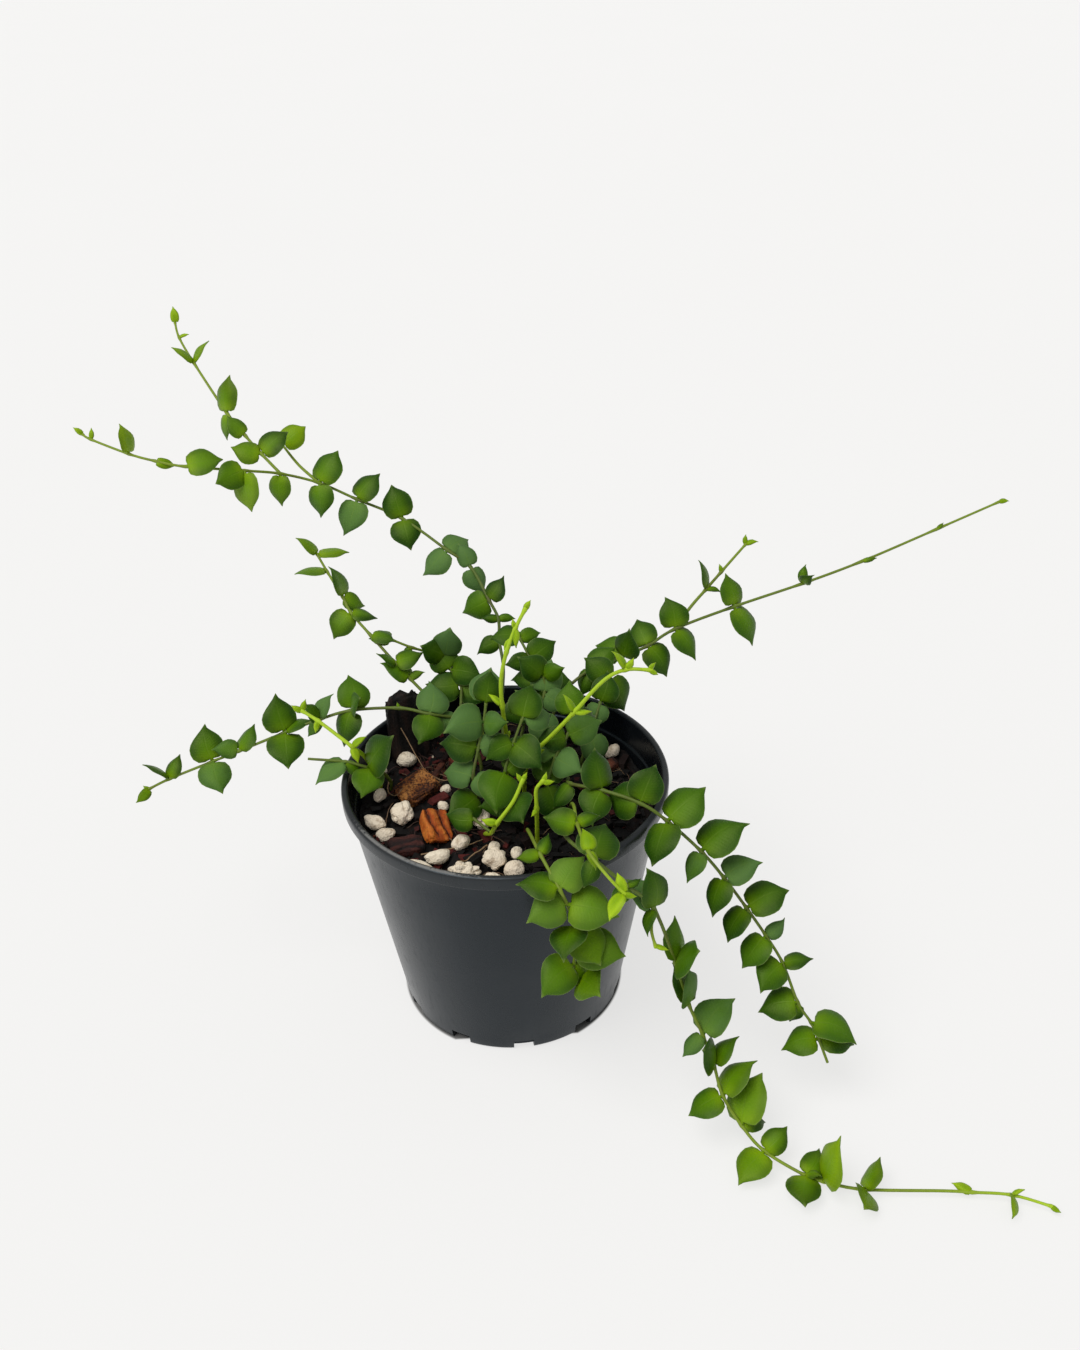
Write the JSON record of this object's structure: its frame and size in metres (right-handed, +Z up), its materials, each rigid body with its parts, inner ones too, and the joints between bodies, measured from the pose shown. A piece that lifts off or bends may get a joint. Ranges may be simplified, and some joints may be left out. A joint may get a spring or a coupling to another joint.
{
  "type": "potted trailing heart-leaf plant",
  "caption": "Small climbing plant with fleshy heart-shaped leaves in opposite pairs on thin vines, rising from bark mix in a tapered nursery pot and trailing over its rim",
  "frame": {"origin": "centre of the pot's flat underside, on the surface that the pot stands on", "axes": "+Z is up along the pot's axis; -Y is the front, the side with the short hanging vine; +X is to the right, where the long vines trail"},
  "size_m": [0.3355, 0.3043, 0.1852],
  "materials": {
    "pot_plastic": "satin charcoal-black moulded plastic with pale scuffs at the rim",
    "potting_mix": "damp, very dark brown, crumbly mix of fine bark and fibre, matte",
    "perlite": "porous cream-white grains, matte, dirty brown in the hollows",
    "orange_bark": "ridged orange-brown pine bark, matte",
    "dark_bark": "ridged dark maroon and black bark, matte",
    "husk": "fibrous brown coconut husk, matte",
    "mature_leaf": "thick waxy dark green leaves, soft sheen, paler midrib and edge",
    "young_leaf": "thick waxy mid green leaves, yellow-green near the stalk, soft sheen",
    "lime_shoot": "soft fleshy yellow-green young shoots, satin"
  },
  "bodies": {
    "root": {"pot": "pot_plastic", "potting_mix": "potting_mix", "perlite_01": "perlite", "perlite_02": "perlite", "perlite_03": "perlite", "perlite_04": "perlite", "perlite_05": "perlite", "perlite_06": "perlite", "perlite_07": "perlite", "perlite_08": "perlite", "perlite_09": "perlite", "perlite_10": "perlite", "perlite_11": "perlite", "perlite_12": "perlite", "perlite_13": "perlite", "perlite_14": "perlite", "perlite_15": "perlite", "perlite_16": "perlite", "perlite_17": "perlite", "perlite_18": "perlite", "perlite_19": "perlite", "orange_bark_chip": "orange_bark", "maroon_bark_chip": "dark_bark", "husk_chip": "husk", "red_bark_stick": "dark_bark", "broken_bark_stick": "dark_bark", "right_bark_chip": "dark_bark", "back_bark_chip": "dark_bark", "standing_bark_chip": "dark_bark", "upper_left_vine": "mature_leaf", "short_left_vine": "young_leaf", "far_left_sprig": "young_leaf", "left_vine": "young_leaf", "rim_shoot": "young_leaf", "lime_left_shoot": "lime_shoot", "upper_right_vine": "young_leaf", "right_trailing_vine": "young_leaf", "long_trailing_vine": "young_leaf", "front_hanging_vine": "young_leaf", "front_rim_sprig": "young_leaf", "lime_tall_shoot": "lime_shoot", "lime_leaning_shoot": "lime_shoot", "lime_front_shoot": "lime_shoot", "lime_curled_shoot": "lime_shoot", "crown_left_sprig": "mature_leaf", "crown_front_sprig": "mature_leaf", "crown_middle_sprig": "mature_leaf", "crown_back_sprig": "mature_leaf", "crown_right_sprig": "mature_leaf", "crown_far_right_sprig": "mature_leaf", "crown_far_left_sprig": "mature_leaf"}
  },
  "joints": []
}
